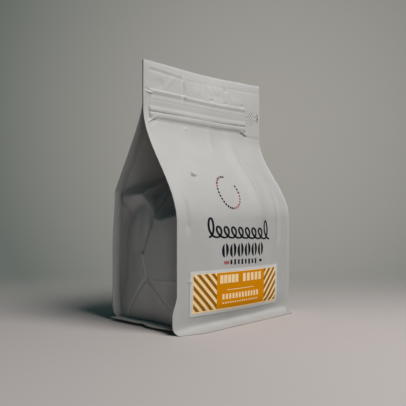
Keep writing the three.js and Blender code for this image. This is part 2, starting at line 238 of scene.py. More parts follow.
# Dimples and bumps: centre, half widths, height
FRONT_DIMPLES = [
    ((6.1, 182.6), (1.3, 1.0), -1.10),
    ((7.8, 181.0), (1.3, 0.9), 0.60),
    ((24.0, 182.4), (1.2, 0.8), -0.75),
    ((44.8, 182.8), (1.3, 0.8), -0.80),
    ((25.5, 193.9), (1.7, 1.5), -0.75),
    ((37.0, 184.6), (6.5, 4.0), 0.60),
    ((-52.0, 188.0), (8.0, 3.6), -0.45),
    ((12.0, 187.0), (9.0, 3.0), -0.50),
    ((-10.0, 188.0), (5.0, 3.5), 0.40),
    ((-27.4, 154.6), (1.7, 1.3), 1.00),
    ((-27.5, 151.0), (5.0, 3.0), 0.35),
    ((26.0, 145.5), (5.0, 6.0), 0.45),
    ((-41.6, 115.0), (1.5, 1.9), -3.40),
    ((-39.2, 116.4), (1.2, 1.4), 1.10),
    ((-52.0, 60.0), (7.0, 12.0), -0.55),
    ((44.0, 44.0), (6.0, 5.0), -0.35),
]

RIPPLE_CENTRE = (10, 190.5)            # buckles in the top seal
RIPPLE_REACH = (26, 6)
RIPPLE_PITCH = 7.5
RIPPLE_LEAN = 0.25
RIPPLE_HEIGHT = 0.42
WELD_DEPTH = 0.25                      # the line where each fin is welded
WELD_HALF_WIDTH = 0.8
WELD_FADES, WELD_GONE = 120, 158
DISC_CENTRE = (58.2, 173.6)            # a knurled disc pressed in beside the end of the zip, to tear at
DISC_RADIUS = 8
DISC_KNURL = 3.4
DISC_RELIEF = 0.75
DISC_RIM = 1.5
EDGE_BEAD = 0.6                        # how far the cut edges turn out, and the upper one back
EDGE_BEAD_WIDTH = 1.1
CUT_EDGE_FROM, CUT_EDGE_FULL = 14, 30
FIN_STIFF_FROM, FIN_STIFF_FULL = 150, 120      # lower down the fins hold flat, without creases


def crease(x, z, start, end, half_width):
    """1 along a line, 0 away from it; it runs out twice as slowly past its ends as beside it."""
    run_x, run_z = end[0] - start[0], end[1] - start[1]
    length = math.hypot(run_x, run_z)
    along = ((x - start[0]) * run_x + (z - start[1]) * run_z) / length
    aside = ((x - start[0]) * run_z - (z - start[1]) * run_x) / length
    past_end = np.maximum(np.maximum(-along, along - length), 0)
    return bell(np.hypot(aside, past_end * 0.5), half_width)


def creased(x, z, creases):
    return sum(height * crease(x, z, start, end, half_width) for start, end, half_width, height in creases)


def front_relief(x, z):
    relief = zip_relief(x, z) + creased(x, z, FRONT_CREASES)
    for (cx, cz), (wide, high), height in FRONT_DIMPLES:
        relief = relief + height * bell(np.hypot((x - cx) / wide, (z - cz) / high), 1)
    ripples = bell(x - RIPPLE_CENTRE[0], RIPPLE_REACH[0]) * bell(z - RIPPLE_CENTRE[1], RIPPLE_REACH[1])
    relief = relief + RIPPLE_HEIGHT * ripples * np.sin(2 * np.pi * (x + RIPPLE_LEAN * z) / RIPPLE_PITCH)
    root = PANEL_HALF_WIDTH - FIN_WIDTH
    weld = bell(np.abs(x) - root, WELD_HALF_WIDTH)
    weld = weld * within(z, CUT_EDGE_FROM, CUT_EDGE_FULL, WELD_FADES, WELD_GONE)
    bead = bell(PANEL_HALF_WIDTH - np.abs(x), EDGE_BEAD_WIDTH) * np.sign(x)
    bead = bead * ease(z, CUT_EDGE_FROM, CUT_EDGE_FULL) - bell(BAG_HEIGHT - z, EDGE_BEAD_WIDTH)
    held = ease(np.abs(x), root - 1.5, root + 0.5) * ease(-z, -FIN_STIFF_FROM, -FIN_STIFF_FULL)
    from_disc = np.hypot(x - DISC_CENTRE[0], z - DISC_CENTRE[1])
    knurled = DISC_RELIEF * np.sin(2 * np.pi * x / DISC_KNURL) * np.sin(2 * np.pi * z / DISC_KNURL)
    disc = knurled * ease(-from_disc, -DISC_RADIUS, DISC_RIM - DISC_RADIUS)
    return disc + (relief - WELD_DEPTH * weld) * (1 - held) + EDGE_BEAD * bead


def front_face(x, z):
    return front_form(x, z) - front_relief(x, z)


def film_between(name, outer, inner, material):
    """A closed sheet of film between two grids of points, rows by columns by three."""
    rows, columns = outer.shape[:2]
    count = rows * columns
    index = np.arange(count).reshape(rows, columns)
    face = np.stack([index[:-1, :-1], index[:-1, 1:], index[1:, 1:], index[1:, :-1]], -1).reshape(-1, 4)
    rim = np.concatenate([index[0, :], index[1:, -1], index[-1, -2::-1], index[-2:0:-1, 0]])
    after = np.roll(rim, -1)
    edge = np.stack([after, rim, rim + count, after + count], -1)
    points = np.concatenate([outer.reshape(-1, 3), inner.reshape(-1, 3)]) * MM
    mesh = bpy.data.meshes.new(name)
    mesh.from_pydata(points.tolist(), [], np.concatenate([face, face[:, ::-1] + count, edge]).tolist())
    form = bmesh.new()
    form.from_mesh(mesh)
    bmesh.ops.recalc_face_normals(form, faces=form.faces)
    form.to_mesh(mesh)
    form.free()
    mesh.shade_smooth()
    mesh.set_sharp_from_angle(angle=math.radians(50))
    mesh.materials.append(material)
    piece = bpy.data.objects.new(name, mesh)
    scene.collection.objects.link(piece)
    return piece


def noise(nodes, links, coordinates, scale, detail):
    grain = nodes.new("ShaderNodeTexNoise")
    grain.inputs["Scale"].default_value = scale
    grain.inputs["Detail"].default_value = detail
    links.new(coordinates, grain.inputs["Vector"])
    return grain.outputs["Fac"]


UNEVENNESS = 0.06


def matt_finish(name, light, dark, roughness, grain_scale, grain_depth, cloud_scale=45, gloss=0.35):
    """A finish with cloudy colour, a fine grain and slightly uneven roughness."""
    material = bpy.data.materials.new(name)
    material.use_nodes = True
    nodes, links = material.node_tree.nodes, material.node_tree.links
    shader = nodes["Principled BSDF"]
    shader.inputs["Specular IOR Level"].default_value = gloss
    place = nodes.new("ShaderNodeTexCoord").outputs["Object"]
    cloud = noise(nodes, links, place, cloud_scale, 4)
    tint = nodes.new("ShaderNodeMix")
    tint.data_type = "RGBA"
    tint.inputs["A"].default_value = (*dark, 1)
    tint.inputs["B"].default_value = (*light, 1)
    links.new(cloud, tint.inputs["Factor"])
    links.new(tint.outputs["Result"], shader.inputs["Base Color"])
    spread = nodes.new("ShaderNodeMapRange")
    spread.inputs["To Min"].default_value = roughness - UNEVENNESS
    spread.inputs["To Max"].default_value = roughness + UNEVENNESS
    links.new(cloud, spread.inputs["Value"])
    links.new(spread.outputs["Result"], shader.inputs["Roughness"])
    bump = nodes.new("ShaderNodeBump")
    bump.inputs["Distance"].default_value = grain_depth * MM
    bump.inputs["Strength"].default_value = 0.5
    links.new(noise(nodes, links, place, grain_scale, 3), bump.inputs["Height"])
    links.new(bump.outputs["Normal"], shader.inputs["Normal"])
    return material


white_laminate = matt_finish(
    "white laminate", (0.500, 0.480, 0.470), (0.424, 0.407, 0.398),
    roughness=0.5, grain_scale=1400, grain_depth=0.03)

# Places across and up the panel, closer together at its edges and over the zip
FRONT_COLUMNS = np.concatenate([
    np.linspace(0, 0.04, 12), np.linspace(0.04, 0.96, 132)[1:], np.linspace(0.96, 1, 12)[1:]])
FRONT_ROWS = np.concatenate([
    np.linspace(0, 14, 24), np.linspace(14, 156, 150)[1:], np.linspace(156, 184, 80)[1:],
    np.linspace(184, 202, 26)[1:], np.linspace(202, BAG_HEIGHT, 8)[1:]])


def panel_grid(rows, columns, left_eared, right_eared):
    z = np.repeat(rows[:, None], len(columns), axis=1)
    u = columns[None, :]
    return lerp(-edge_reach(z, left_eared), edge_reach(z, right_eared), u), z


SEAL_FROM = 158                        # above this the two panels lie on each other
HEADER_THICKNESS = 1.5
HEADER_GAP = 0.04                      # between its two films
THICK_TO, THIN_FROM = 46, 50           # out here the folded side lies in between


def panel_thickness(x, z):
    """The film's own thickness, or half the header's where no folded side lies between the panels."""
    clear_of_fold = ease(-np.abs(x), -THIN_FROM, -THICK_TO) * ease(z, SEAL_FROM, SEAL_FROM + 4)
    return lerp(FILM, (HEADER_THICKNESS - HEADER_GAP) / 2, clear_of_fold)


front_x, front_z = panel_grid(FRONT_ROWS, FRONT_COLUMNS, True, False)
front_outer = front_face(front_x, front_z)
front_inner = np.maximum(front_form(front_x, front_z), front_outer) + panel_thickness(front_x, front_z)
front_panel = film_between(
    "front_panel",
    np.stack([front_x, front_outer, front_z], -1),
    np.stack([front_x, front_inner, front_z], -1),
    white_laminate)
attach(front_panel, "root")
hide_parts("bag")

# ---- back panel -------------------------------------------------------------------------------------
# The same web as the front, plain, with the same fins, foot and zip. It leaves the header higher up and
# falls in a nearly straight line to the shoulder, as the filling leans on it.

BACK_BELLY = 38.3
BACK_LEAVES = 172
BACK_SHOULDER = 104
BACK_SHOULDER_DEPTH = 35.3
BACK_SOFTNESS = 0.12
BACK_FULL = 58
BACK_SWELL = 5
BACK_PARTS_QUICKLY = 4                 # how fast it leaves the front's line under the header
BACK_ZIP = 0.8                         # the zip shows a little less through the back
BACK_CREASES = [
    ((-58, 126), (-26, 98), 4.5, -0.8),
    ((34, 121), (22, 84), 4.5, -0.7),
    ((-50, 92), (-49, 58), 1.6, -0.6),
    ((51, 96), (50, 64), 1.6, -0.6),
    ((-6, 196), (-5, 183), 0.9, 0.4),
    ((44, 157.4), (50, 155.2), 0.8, -0.8),
    ((-50, 157.2), (-44, 155.0), 0.8, -0.8),
    ((-60, 197.2), (60, 196.6), 1.0, -0.25),
]


def back_edge(z):
    def softened(t):
        return np.hypot(t, BACK_SOFTNESS) - BACK_SOFTNESS
    above = BACK_SHOULDER_DEPTH * softened(between(-z, -BACK_LEAVES, -BACK_SHOULDER)) / softened(1)
    below = lerp(BACK_SHOULDER_DEPTH, BACK_BELLY, ease(-z, -BACK_SHOULDER, -BACK_FULL))
    return np.where(z > BACK_SHOULDER, above, below)


def back_form(x, z):
    top = np.full_like(z, BAG_HEIGHT)
    header_face = front_form(x, top) - header_bow(x, top) + header_bow(x, z) + HEADER_THICKNESS
    out = back_edge(z)
    parted = np.minimum(out / BACK_BELLY * BACK_PARTS_QUICKLY, 1)
    panel = lerp(header_face, 0, parted) + out + swell(x, z, BACK_SWELL)
    rise, middle = skirt(x, z, 1)
    floor_line = lerp(np.where(x > 0, EAR_FLOOR_DEPTH, panel), SKIRT_DEPTH, middle)
    return lerp(panel, floor_line, rise)


def back_relief(x, z):
    header = 1 - np.minimum(back_edge(z) / BACK_BELLY * BACK_PARTS_QUICKLY, 1)
    return BACK_ZIP * zip_relief(x, z) * header + creased(x, z, BACK_CREASES)


BACK_COLUMNS = np.linspace(0, 1, 121)
BACK_ROWS = np.concatenate([
    np.linspace(0, 14, 18), np.linspace(14, 156, 110)[1:], np.linspace(156, 184, 60)[1:],
    np.linspace(184, BAG_HEIGHT, 20)[1:]])

back_x, back_z = panel_grid(BACK_ROWS, BACK_COLUMNS, False, True)
back_outer = back_form(back_x, back_z) + back_relief(back_x, back_z)
back_inner = np.minimum(back_form(back_x, back_z), back_outer) - panel_thickness(back_x, back_z)
back_panel = film_between(
    "back_panel",
    np.stack([back_x, back_outer, back_z], -1),
    np.stack([back_x, back_inner, back_z], -1),
    white_laminate)
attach(back_panel, "root")
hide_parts("bag")

# ---- folded sides -----------------------------------------------------------------------------------
# Each side is one web folded along its middle and welded to the panels as the corner fins. The filling
# bulges it below. Above, it tucks in behind a peak level with the shoulder and closes as a deep V into
# the header. From the bulge the middle crease runs up into that pocket. A triangle is pressed in below.

WEB_HALF_WIDTH = 42.5
SIDE_HALF_DEPTH = 38                   # the belly's, from the middle of the side to a corner
FOLD_CLOSES_FROM = 142
FOLD_CLOSED = 158
FOLD_CLOSED_DEPTH = 12
FOLD_ROUNDNESS = (0.9, 0.25)           # of its front half, behind the front fin, and its back half
BULGE = 7.0
BULGE_MIDDLE = 4                       # the bulge is fullest this far behind the middle
BULGE_CURVES = (1.6, 5)                # how late it falls off behind and in front
BULGE_HEIGHTS = (-14, 22, 70, 122)     # starts, is full, fades, is gone
VALLEY = 5.2                           # hollow beside the back fin
VALLEY_AT = 36
VALLEY_HALF_WIDTH = 9
VALLEY_HEIGHTS = (8, 50, 84, 98)
PEAK = (6.0, 101.7)                    # behind the middle, height
LIP_AT_FIN = 99.5
LIP = 3.6                              # how far the tuck's lip stands out
LIP_HALF_HEIGHT = 7
TUCK_SLOPE_AT_FIN = 0.3
TUCK_SLOPE_GAIN = 1.75
TUCK_SLOPE = 2.4
RIDGE_FOOT = (4.5, 54.5)
# By height: how far the ridge lies behind the middle, and how fast the film falls away in front of it
RIDGE_LINE = [(54.5, 3.5), (64, 0.5), (72, -3), (80, -5.5), (85, -5), (93, 0), (101.5, 6), (118, 10)]
FLANK_SLOPE = [(54.5, 0.3), (80, 0.6), (85, 1.2), (93, 5.0), (104, 6.0), (118, 7.0)]
ROLL_LINE = [(-38, 87), (-27, 84), (-14, 80.5), (-5, 82), (2, 86), (8, 95)]    # it turns in above this
ROLL_DEPTH = (13, 26)                  # at the middle of the side and beside the front fin
ROLL_HEIGHT = (14, 7)
ROLL_SHARPNESS = 1.6
POCKET_FROM = 86
POCKET_CURL = 0.02
SIDE_CREASES = [                       # from, to, half width, how far pressed in
    ((-5.0, 91.0), (-3.0, 106.0), 0.9, 1.5), ((10.0, 97.0), (31.0, 78.0), 6.0, 1.9),
    ((3.0, 94.0), (-2.0, 84.0), 4.0, 0.7), ((8.0, 90.0), (9.0, 66.0), 5.0, 0.9),
    ((3.0, 62.0), (-1.0, 72.0), 2.6, -0.3)]
STEP_LINE = [(54.5, 3.0), (78, -7.0), (91, -5.0), (106, -3.0)]     # the front half lies over the back here
STEP = 4.5
STEP_FADES = 5
STEP_HEIGHTS = (54, 58, 88, 100)
CREASE_SOFTNESS = 0.8
LIP_SOFTNESS = 1.0
FOLD_SOFTNESS = 5
TRIANGLE = [(24, 9.5), (-0.8, 36.7), (-30, 13.5)]      # back foot, apex, front foot
TRIANGLE_TILT = 0.16
TRIANGLE_SOFTNESS = 12
PLEAT = 1.0
UPRIGHT = 0.4
PLEAT_HALF_WIDTH = 0.9
LEVEL_CREASE = ((-7, 35.6), (-37, 36.8))
LEVEL_PLEAT = 0.45
GUSSET_COLUMNS = 150
FIN_COLUMNS = 10
GUSSET_ROWS = np.linspace(0, BAG_HEIGHT, 260)


def soft_least(a, b, softness):
    near = np.clip(0.5 + 0.5 * (b - a) / softness, 0, 1)
    return lerp(b, a, near) - softness * near * (1 - near)


def soft_most(a, b, softness):
    return -soft_least(-a, -b, softness)


def v_fold(s, z, span):
    """Depth of the web folded flat along its middle, s being 0 there and 1 either way at the fins."""
    f = np.abs(s)
    roundness = np.where(s < 0, *FOLD_ROUNDNESS)
    folded = np.sqrt(np.maximum(WEB_HALF_WIDTH ** 2 - (span / 2) ** 2, 0))
    depth = lerp(folded, FOLD_CLOSED_DEPTH, ease(z, FOLD_CLOSES_FROM, FOLD_CLOSED))
    return depth * (1 - f) * (1 + roundness * f)


def clear_of_fin(y, reach):
    """0 at the back fin and 1 from so far in front of it; for the front fin, y is turned round."""
    return ease(SIDE_HALF_DEPTH - y, 0, reach)


def bulge(y, z):
    """Depth of the full lower part; it stands out, so it is below zero."""
    behind = between(y, BULGE_MIDDLE, SIDE_HALF_DEPTH) ** BULGE_CURVES[0]
    ahead = between(-y, -BULGE_MIDDLE, SIDE_HALF_DEPTH) ** BULGE_CURVES[1]
    full = BULGE * (1 - behind - ahead) * within(z, *BULGE_HEIGHTS)
    valley = VALLEY * bell(y - VALLEY_AT, VALLEY_HALF_WIDTH) * within(z, *VALLEY_HEIGHTS)
    return valley * clear_of_fin(y, 3) - full


def triangle(y, z):
    (back_y, back_z), apex, (front_y, front_z) = TRIANGLE
    back_leg = apex[1] - (y - apex[0]) * (apex[1] - back_z) / (back_y - apex[0])
    front_leg = apex[1] - (apex[0] - y) * (apex[1] - front_z) / (apex[0] - front_y)
    pressed = TRIANGLE_TILT * np.maximum(soft_least(back_leg, front_leg, TRIANGLE_SOFTNESS) - z, 0)
    pleats = sum(crease(y, z, foot, apex, PLEAT_HALF_WIDTH) for foot in (TRIANGLE[0], TRIANGLE[2]))
    upright = crease(y, z, apex, RIDGE_FOOT, PLEAT_HALF_WIDTH)
    level = LEVEL_PLEAT * crease(y, z, *LEVEL_CREASE, PLEAT_HALF_WIDTH)
    return pressed + PLEAT * np.minimum(pleats, 1) - UPRIGHT * upright - level


def gusset_depth(s, z, span):
    """How far the folded side lies inside the line between its corners."""
    f = np.abs(s)
    y = SIDE_HALF_DEPTH * s
    lower = bulge(y, z) + triangle(y, z)

    lip_height = lerp(PEAK[1], LIP_AT_FIN, between(y, PEAK[0], SIDE_HALF_DEPTH))
    lip = LIP * bell(z - lip_height, LIP_HALF_HEIGHT) * ease(y, 0, PEAK[0]) * clear_of_fin(y, 4)
    tuck_slope = np.minimum(TUCK_SLOPE_AT_FIN + TUCK_SLOPE_GAIN * (1 - f), TUCK_SLOPE)
    tuck = lower - lip + tuck_slope * np.maximum(z - lip_height, 0)

    ridge = np.interp(z, *zip(*RIDGE_LINE))
    flank = bulge(ridge, z) + np.interp(z, *zip(*FLANK_SLOPE)) * (ridge - y)
    above_roll = np.maximum(z - np.interp(y, *zip(*ROLL_LINE)), 0)
    forward = between(-y, 0, SIDE_HALF_DEPTH - 6)
    turned_in = 1 - np.exp(-(above_roll / lerp(*ROLL_HEIGHT, forward)) ** ROLL_SHARPNESS)
    pocket = lerp(*ROLL_DEPTH, forward) * turned_in + POCKET_CURL * np.maximum(z - POCKET_FROM, 0) ** 2
    front = lower + pocket * clear_of_fin(-y, 6)
    hanging = soft_most(tuck, soft_least(flank, front, CREASE_SOFTNESS), LIP_SOFTNESS)
    hanging = hanging + creased(y, z, SIDE_CREASES)
    behind = y - np.interp(z, *zip(*STEP_LINE))
    step = ease(behind, -0.4, 0.4) * np.exp(-np.maximum(behind, 0) / STEP_FADES)
    hanging = hanging + STEP * step * within(z, *STEP_HEIGHTS)
    return soft_least(v_fold(s, z, span), hanging, FOLD_SOFTNESS * np.clip(4 * (1 - f), 0.02, 1))


def side_surface(side, s, z):
    root = side * (PANEL_HALF_WIDTH - FIN_WIDTH)
    front_root = front_form(root, z) + FIN
    back_root = back_form(np.full_like(z, root), z) - FIN
    x = root - side * gusset_depth(s, z, back_root - front_root)
    pressed = ease(z, FOLD_CLOSES_FROM, FOLD_CLOSED)
    front = lerp(front_root, front_form(x, z) + FIN, pressed)
    back = lerp(back_root, back_form(x, z) - FIN, pressed)
    return x, lerp(front, back, (s + 1) / 2)


def side_grid(side):
    """From the front fin's edge, across the folded web, to the back fin's edge."""
    root = PANEL_HALF_WIDTH - FIN_WIDTH
    z = GUSSET_ROWS[:, None]
    inwards = np.linspace(0, 1, FIN_COLUMNS, endpoint=False)[None, :]
    front_fin_x = side * lerp(edge_reach(z, side < 0), root, inwards)
    back_fin_x = side * lerp(root, edge_reach(z, side > 0), 1 - inwards[:, ::-1])
    front_fin_z, back_fin_z = (np.broadcast_to(z, part.shape) for part in (front_fin_x, back_fin_x))
    s = np.linspace(-1, 1, GUSSET_COLUMNS + 1)[None, :]
    web_s, web_z = np.broadcast_arrays(s, z)
    web_x, web_y = side_surface(side, web_s, web_z)
    x = np.concatenate([front_fin_x, web_x, back_fin_x], 1)
    y = np.concatenate([
        front_form(front_fin_x, front_fin_z) + FIN, web_y, back_form(back_fin_x, back_fin_z) - FIN], 1)
    return np.stack([x, y, np.broadcast_to(z, x.shape)], -1)


def moved_inwards(grid, side, distance):
    along, up = np.gradient(grid, axis=1), np.gradient(grid, axis=0)
    normal = np.cross(along, up)
    normal /= np.maximum(np.linalg.norm(normal, axis=-1, keepdims=True), 1e-9)
    moved = grid + side * normal * distance
    moved[..., 2] = np.clip(moved[..., 2], 0, BAG_HEIGHT)
    return moved


for side, name in ((-1, "left_gusset"), (1, "right_gusset")):
    web = side_grid(side)
    gusset = film_between(name, web, moved_inwards(web, -side, FILM), white_laminate)
    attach(gusset, "root")
    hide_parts("bag")

# ---- base -------------------------------------------------------------------------------------------
# The base is a separate web let in between the panels. Its side seals stand out as two thin ledges just
# clear of the floor, dented where the folded side presses on them.

LEDGE_LIFT = 2.1
LEDGE_THICKNESS = 0.45
LEDGE_LEFT = [
    (-38.0, 66.0), (-35.0, 69.4), (-22.0, 70.6), (-4.0, 70.2), (1.5, 67.8), (6.0, 70.0), (30.0, 71.0),
    (38.8, 70.6)]
LEDGE_RIGHT = [
    (-31.0, 62.0), (-26.0, 69.6), (-6.0, 70.6), (0.5, 68.2), (6.0, 70.4), (30.0, 71.0), (41.0, 69.8)]
LEDGE_OVERLAP = 6                      # how far it runs in under the folded side
LEDGE_WAVE = 0.35
LEDGE_WAVE_PITCH = 9.0
LEDGE_DENT = 0.5
LEDGE_DENT_AT = 1
LEDGE_DENT_HALF_WIDTH = 7
LEDGE_COLUMNS = 14
LEDGE_ROWS = 80

for side, name, shape in ((-1, "left_base_seal", LEDGE_LEFT), (1, "right_base_seal", LEDGE_RIGHT)):
    depths = np.linspace(shape[0][0], shape[-1][0], LEDGE_ROWS)[:, None]
    outwards = np.linspace(0, 1, LEDGE_COLUMNS)[None, :]
    reach = np.interp(depths, *zip(*shape))
    inner_x = PANEL_HALF_WIDTH - FIN_WIDTH - LEDGE_OVERLAP
    x = side * lerp(inner_x, reach, outwards)
    y = np.broadcast_to(depths, x.shape)
    wave = LEDGE_WAVE * np.sin(depths / LEDGE_WAVE_PITCH + side) * outwards ** 2
    z = LEDGE_LIFT + wave + LEDGE_DENT * outwards * bell(depths - LEDGE_DENT_AT, LEDGE_DENT_HALF_WIDTH)
    z = np.broadcast_to(z, x.shape)
    under = np.stack([x, y, z], -1)
    over = np.stack([x, y, z + LEDGE_THICKNESS], -1)
    base_seal = film_between(name, over, under, white_laminate)
    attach(base_seal, "root")
    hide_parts("bag")

BASE_LIFT = 0.3
BASE_CROWN = 0.8
BASE_WAIST = 0.86
BASE_COLUMNS = 60
BASE_ROWS = 40
across = np.linspace(0, 1, BASE_COLUMNS + 1)[None, :]
front_to_back = np.linspace(0, 1, BASE_ROWS + 1)[:, None]
at_floor = np.zeros_like(across)
front_foot = lerp(-edge_reach(at_floor, True), edge_reach(at_floor, False), across)
back_foot = lerp(-edge_reach(at_floor, False), edge_reach(at_floor, True), across)
half_turn = np.sin(np.pi * front_to_back)
base_x = lerp(front_foot, back_foot, front_to_back) * lerp(1, BASE_WAIST, half_turn ** 0.25)
front_line = front_form(front_foot, at_floor) + FILM
back_line = back_form(back_foot, at_floor) - FILM
base_y = lerp(front_line, back_line, front_to_back)
base_z = BASE_LIFT + BASE_CROWN * half_turn ** 0.5 * np.ones_like(base_x)
base = film_between(
    "base", np.stack([base_x, base_y, base_z], -1)[::-1],
    np.stack([base_x, base_y, base_z + FILM], -1)[::-1], white_laminate)
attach(base, "root")
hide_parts("bag")

# ---- print ------------------------------------------------------------------------------------------
# Plain shapes printed on the front panel in two inks, one near black and one red: an oval of dots, a looped
# a line, a row of beans and a row of short strokes between two marks. A dark crescent beside the tear disc
# is no print but painted shadow, standing for the shade inside a slit cut through the film. The ink lies on
# the film.

INK_LIFT = 0.03
INK_THICKNESS = 0.03
INK_FACET = 1.5                        # print is cut this fine, so that it follows the film


def lay(name, shapes, place, lift, thickness, material):
    """Lays flat shapes on the front face. place turns a shape's points into x and z."""
    ink = bmesh.new()
    for shape in shapes:
        ink.faces.new([ink.verts.new((u, v, 0)) for u, v in shape])
    corners = np.array([point for shape in shapes for point in shape])
    for axis, normal in ((0, (1, 0, 0)), (1, (0, 1, 0))):
        lowest, highest = corners[:, axis].min() / INK_FACET, corners[:, axis].max() / INK_FACET
        for cut in INK_FACET * np.arange(math.floor(lowest) + 1, highest):
            everything = ink.verts[:] + ink.edges[:] + ink.faces[:]
            bmesh.ops.bisect_plane(ink, geom=everything, plane_co=np.multiply(normal, cut), plane_no=normal)
    raised = bmesh.ops.extrude_face_region(ink, geom=ink.faces[:])["geom"]
    top = {vertex for vertex in raised if isinstance(vertex, bmesh.types.BMVert)}
    for vertex in ink.verts:
        x, z = place(vertex.co.x, vertex.co.y)
        away = lift + thickness if vertex in top else lift
        vertex.co = Vector((x, float(front_face(np.float64(x), np.float64(z))) - away, z)) * MM
    bmesh.ops.recalc_face_normals(ink, faces=ink.faces)
    mesh = bpy.data.meshes.new(name)
    ink.to_mesh(mesh)
    ink.free()
    mesh.materials.append(material)
    piece = bpy.data.objects.new(name, mesh)
    scene.collection.objects.link(piece)
    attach(piece, "root")
    return piece


def as_is(u, v):
    return u, v


def ellipse(centre, wide, high, turn=0, corners=18):
    angles = np.linspace(0, 2 * np.pi, corners, endpoint=False)
    c, s = math.cos(turn), math.sin(turn)
    return [(centre[0] + wide * math.cos(a) * c - high * math.sin(a) * s,
             centre[1] + wide * math.cos(a) * s + high * math.sin(a) * c) for a in angles]


def bar(centre, wide, high, slant=0):
    x, z = centre
    return [(x - wide / 2 - slant, z - high / 2), (x + wide / 2 - slant, z - high / 2),
            (x + wide / 2 + slant, z + high / 2), (x - wide / 2 + slant, z + high / 2)]


# The near-black ink is also used for the crescent of painted slit shadow below.
dark_ink_and_slit_shadow = matt_finish(
    "dark ink and painted slit shadow", (0.008, 0.009, 0.014), (0.005, 0.006, 0.009), 0.5, 1800, 0.01, gloss=0.08)
red_ink = matt_finish("red ink", (0.40, 0.10, 0.10), (0.30, 0.07, 0.07), 0.42, 1800, 0.01)

RING_CENTRE = (-11.2, 102.9)
RING_WIDE = 11.4
RING_HIGH = 12.6
RING_DOTS = 30
RING_DOT = 0.92
RING_OPEN = (28, 80)                   # degrees without dots, upper right
RING_MIXED = (100, 170)                # every second dot is red here
RING_RED_FROM = 275

dark_dots, red_dots = [], []
for k in range(RING_DOTS):
    angle = 360 * k / RING_DOTS
    if RING_OPEN[0] < angle < RING_OPEN[1]:
        continue
    place = (RING_CENTRE[0] + RING_WIDE * math.cos(math.radians(angle)),
             RING_CENTRE[1] + RING_HIGH * math.sin(math.radians(angle)))
    mixed = RING_MIXED[0] < angle < RING_MIXED[1]
    dots = red_dots if angle > RING_RED_FROM or mixed and k % 2 else dark_dots
    dots.append(ellipse(place, RING_DOT, RING_DOT))

LOOPS = 9
LOOP_LEFT, LOOP_RIGHT = -39.5, 35.0
LOOP_HEIGHT = (68.9, 64.6)             # of the foot of the loops, left and right
LOOP_RISE = 8.4
LOOP_LEAN = 3.2
LOOP_WIDTH = 4.1
LOOP_STROKE = 2.1
LOOP_THIN = 0.62                       # the level parts of the line are thinner
END_RISE = 15.0                        # the first and last loops stand taller
TALL_AT = ((0.04, 0.045), (0.94, 0.05))


def looped_line():
    turns = np.linspace(0, 2 * np.pi * LOOPS, LOOPS * 34)
    t = turns / turns[-1]
    tall = np.maximum(*(bell(t - at, reach) for at, reach in TALL_AT))
    rise = lerp(LOOP_RISE, END_RISE, tall)
    v = lerp(LOOP_HEIGHT[0], LOOP_HEIGHT[1], t) + rise * (1 - np.cos(turns)) / 2
    u = lerp(LOOP_LEFT, LOOP_RIGHT, t) + LOOP_WIDTH * np.sin(turns) - LOOP_LEAN * (1 - np.cos(turns)) / 2
    return u, v


def ribbon(u, v, stroke):
    along_u, along_v = np.gradient(u), np.gradient(v)
    length = np.hypot(along_u, along_v)
    width = stroke / 2 * lerp(LOOP_THIN, 1, np.abs(along_v) / length)
    aside_u, aside_v = -along_v / length * width, along_u / length * width
    return [[(u[i] - aside_u[i], v[i] - aside_v[i]), (u[i] + aside_u[i], v[i] + aside_v[i]),
             (u[i + 1] + aside_u[i + 1], v[i + 1] + aside_v[i + 1]),
             (u[i + 1] - aside_u[i + 1], v[i + 1] - aside_v[i + 1])] for i in range(len(u) - 1)]


BEANS = 6
BEAN_LEFT, BEAN_RIGHT = -22.3, 21.6
BEAN_HEIGHT = (58.0, 57.0)
BEAN_WIDE, BEAN_HIGH = 3.7, 5.5
BEAN_SLIT = 0.45
BEAN_TURN = -0.12
BEAN_WAVE = 0.5                        # the slit is slightly S-shaped

beans = []
for k in range(BEANS):
    t = k / (BEANS - 1)
    centre = (lerp(BEAN_LEFT, BEAN_RIGHT, t), lerp(*BEAN_HEIGHT, t))
    outline = ellipse(centre, BEAN_WIDE, BEAN_HIGH, turn=BEAN_TURN, corners=28)
    for half in (-1, 1):
        beans.append([(x, z) for x, z in outline
                      if half * (x - centre[0] - BEAN_WAVE * math.sin((z - centre[1]) / 2)) > BEAN_SLIT])

STROKES = 8
FIRST_STROKE, LAST_STROKE = (-15.6, 48.7), (14.6, 47.6)
STROKE_WIDE, STROKE_HIGH = 2.1, (3.6, 4.2)      # by turns
LEFT_MARK, LEFT_MARK_PITCH = (-20.9, 48.6), 1.9
RIGHT_MARK = (21.6, 47.6)

stroke_places = np.linspace(FIRST_STROKE, LAST_STROKE, STROKES)
strokes = [bar(centre, STROKE_WIDE, STROKE_HIGH[k % 2]) for k, centre in enumerate(stroke_places)]
left_mark = [ellipse((LEFT_MARK[0] + LEFT_MARK_PITCH * k, LEFT_MARK[1]), 0.9, 1.5) for k in (-1, 0, 1)]
right_mark = [ellipse(RIGHT_MARK, 1.9, 1.2)]

# The crescent below is painted shadow: it stands for the shade inside a slit beside the tear disc.
CRESCENT_RADIUS = DISC_RADIUS + 0.8
CRESCENT_WIDE = 1.1
CRESCENT_REACH = 32                    # degrees each way from level

crescent = []
for edge in (1, -1):
    for turn in np.linspace(-edge, edge, 11)[:-1]:
        inset = CRESCENT_WIDE * (1 - turn ** 2) if edge < 0 else 0
        angle = math.radians(CRESCENT_REACH * turn)
        crescent.append((DISC_CENTRE[0] + (CRESCENT_RADIUS - inset) * math.cos(angle),
                         DISC_CENTRE[1] + (CRESCENT_RADIUS - inset) * math.sin(angle)))
